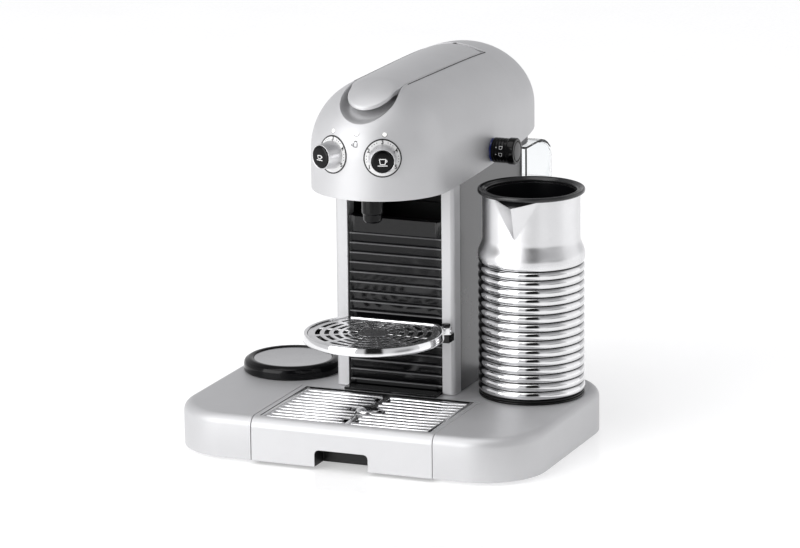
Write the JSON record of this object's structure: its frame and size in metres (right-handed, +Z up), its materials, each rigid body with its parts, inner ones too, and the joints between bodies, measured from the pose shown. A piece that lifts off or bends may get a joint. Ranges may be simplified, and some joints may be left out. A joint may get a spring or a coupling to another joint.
{
  "type": "pod coffee machine",
  "caption": "Countertop pod coffee machine with a lift-up top lever, volume dials, a swivelling cup support over a drip drawer, a rear water tank, a cup warmer and a milk frothing jug.",
  "frame": {"origin": "on the table, under the middle of the bounding box", "axes": "+Z up, -Y towards the user, +X to the user's right"},
  "size_m": [0.346, 0.387, 0.339],
  "materials": {
    "base_shell": "satin metallic silver",
    "base_plate": "matt black",
    "cord_inlet": "matt black grommet",
    "foot_front_left": "matt",
    "foot_front_right": "matt",
    "foot_rear_left": "matt",
    "foot_rear_right": "matt",
    "cup_warmer_body": "gloss black",
    "cup_warmer_plate": "polished disc",
    "cup_warmer_heater": "foil",
    "drip_drawer": "satin metallic silver",
    "drip_grid": "polished",
    "drip_float": "polished",
    "module_floor": "black",
    "capsule_container": "gloss black with ribs",
    "support_bracket": "black",
    "support_pin": "black",
    "support_tray": "polished rim",
    "support_grid": "polished",
    "pillar_left": "satin metallic silver",
    "pillar_right": "satin metallic silver",
    "side_panel_left": "satin metallic silver",
    "side_panel_right": "satin metallic silver",
    "rear_panel": "matt grey",
    "bay_wall": "matt black",
    "head_chassis": "matt black",
    "head_shell": "satin metallic silver",
    "head_underside": "matt black",
    "coffee_spout": "black",
    "rear_bridge": "dark grey",
    "lever": "satin metallic silver",
    "lever_pin": "bare",
    "lever_bay": "dark silver",
    "dial_ring_left": "white face with black numerals",
    "dial_ring_right": "white face with black numerals",
    "knob_left": "satin",
    "knob_right": "satin",
    "button_left": "gloss black",
    "button_right": "gloss black",
    "light_left": "white lens",
    "light_centre": "white lens",
    "light_right": "white lens",
    "frother_light": "blue lens",
    "frother_knob": "gloss black",
    "frother_button": "satin grey",
    "brew_frame": "matt black",
    "brew_piston": "turned",
    "boiler": "cast",
    "pump": "off-white",
    "power_board": "circuit board",
    "frother_motor": "bare",
    "frother_dock": "black",
    "jug_base": "black",
    "jug_sleeve": "polished",
    "jug_pot": "dark non-stick",
    "jug_rim": "black seal",
    "whisk": "bare wire",
    "water_tank": "clear plastic",
    "tank_lid": "clear plastic",
    "tank_valve": "matt black"
  },
  "bodies": {
    "machine": {"base_shell": "base_shell", "base_plate": "base_plate", "cord_inlet": "cord_inlet", "foot_front_left": "foot_front_left", "foot_front_right": "foot_front_right", "foot_rear_left": "foot_rear_left", "foot_rear_right": "foot_rear_right", "cup_warmer_body": "cup_warmer_body", "cup_warmer_plate": "cup_warmer_plate", "cup_warmer_heater": "cup_warmer_heater", "frother_dock": "frother_dock", "frother_motor": "frother_motor", "pillar_left": "pillar_left", "pillar_right": "pillar_right", "side_panel_left": "side_panel_left", "side_panel_right": "side_panel_right", "rear_panel": "rear_panel", "bay_wall": "bay_wall", "head_chassis": "head_chassis", "head_shell": "head_shell", "head_underside": "head_underside", "coffee_spout": "coffee_spout", "rear_bridge": "rear_bridge", "lever_bay": "lever_bay", "lever_pin": "lever_pin", "dial_ring_left": "dial_ring_left", "dial_ring_right": "dial_ring_right", "light_left": "light_left", "light_centre": "light_centre", "light_right": "light_right", "frother_light": "frother_light", "brew_frame": "brew_frame", "boiler": "boiler", "pump": "pump", "power_board": "power_board"},
    "lever": {"lever": "lever"},
    "piston": {"brew_piston": "brew_piston"},
    "left_knob": {"knob_left": "knob_left"},
    "left_button": {"button_left": "button_left"},
    "right_knob": {"knob_right": "knob_right"},
    "right_button": {"button_right": "button_right"},
    "side_knob": {"frother_knob": "frother_knob"},
    "side_button": {"frother_button": "frother_button"},
    "module": {"drip_drawer": "drip_drawer", "module_floor": "module_floor", "capsule_container": "capsule_container", "support_bracket": "support_bracket", "support_pin": "support_pin"},
    "grid": {"drip_grid": "drip_grid"},
    "float": {"drip_float": "drip_float"},
    "support": {"support_tray": "support_tray", "support_grid": "support_grid"},
    "jug": {"jug_base": "jug_base", "jug_sleeve": "jug_sleeve", "jug_pot": "jug_pot", "jug_rim": "jug_rim"},
    "whisk": {"whisk": "whisk"},
    "tank": {"water_tank": "water_tank", "tank_valve": "tank_valve"},
    "lid": {"tank_lid": "tank_lid"}
  },
  "joints": [
    {"name": "lever_swing", "type": "hinge", "parent": "machine", "child": "lever", "pos_m": [0, 0.0785, 0.3225], "axis": [-1, 0, 0], "range_deg": [0, 60]},
    {"name": "piston_slide", "type": "slide", "parent": "machine", "child": "piston", "axis": [0, 1, 0], "range_m": [0, 0.02]},
    {"name": "left_knob_turn", "type": "hinge", "parent": "machine", "child": "left_knob", "pos_m": [-0.0245, -0.14833, 0.278], "axis": [-0.3828, -0.9238, 0], "range_deg": [-60, 60]},
    {"name": "left_button_press", "type": "slide", "parent": "left_knob", "child": "left_button", "axis": [0.3828, 0.9238, 0], "range_m": [0, 0.0015], "stiffness_N_per_m": 300, "springref_m": -0.001},
    {"name": "right_knob_turn", "type": "hinge", "parent": "machine", "child": "right_knob", "pos_m": [0.0245, -0.14833, 0.278], "axis": [0.3828, -0.9238, 0], "range_deg": [-60, 60]},
    {"name": "right_button_press", "type": "slide", "parent": "right_knob", "child": "right_button", "axis": [-0.3828, 0.9238, 0], "range_m": [0, 0.0015], "stiffness_N_per_m": 300, "springref_m": -0.001},
    {"name": "side_knob_turn", "type": "hinge", "parent": "machine", "child": "side_knob", "pos_m": [0.064, 0.0195, 0.255], "axis": [1, 0, 0], "range_deg": [-60, 60]},
    {"name": "side_button_press", "type": "slide", "parent": "side_knob", "child": "side_button", "axis": [-1, 0, 0], "range_m": [0, 0.0015], "stiffness_N_per_m": 300, "springref_m": -0.001},
    {"name": "module_slide", "type": "slide", "parent": "machine", "child": "module", "axis": [0, -1, 0], "range_m": [0, 0.12]},
    {"name": "grid_lift", "type": "slide", "parent": "module", "child": "grid", "axis": [0, 0, 1], "range_m": [0, 0.03]},
    {"name": "float_rise", "type": "slide", "parent": "module", "child": "float", "axis": [0, 0, 1], "range_m": [0, 0.004]},
    {"name": "support_swivel", "type": "hinge", "parent": "module", "child": "support", "pos_m": [0.054, -0.0735, 0.1068], "axis": [0, 0, 1], "range_deg": [0, 70]},
    {"name": "jug_lift", "type": "slide", "parent": "machine", "child": "jug", "axis": [0, -0.2588, 0.9659], "range_m": [0, 0.1]},
    {"name": "whisk_spin", "type": "hinge", "parent": "jug", "child": "whisk", "pos_m": [0.11872, -0.027, 0.066], "axis": [0, 0, 1], "continuous": true},
    {"name": "tank_slide", "type": "slide", "parent": "machine", "child": "tank", "axis": [0, 1, 0], "range_m": [0, 0.08]},
    {"name": "lid_swing", "type": "hinge", "parent": "tank", "child": "lid", "pos_m": [0, 0.1485, 0.238], "axis": [1, 0, 0], "range_deg": [0, 40]}
  ],
  "couplings": [
    {"joint": "piston_slide", "follows": "lever_swing", "m_per_rad": 0.019}
  ]
}
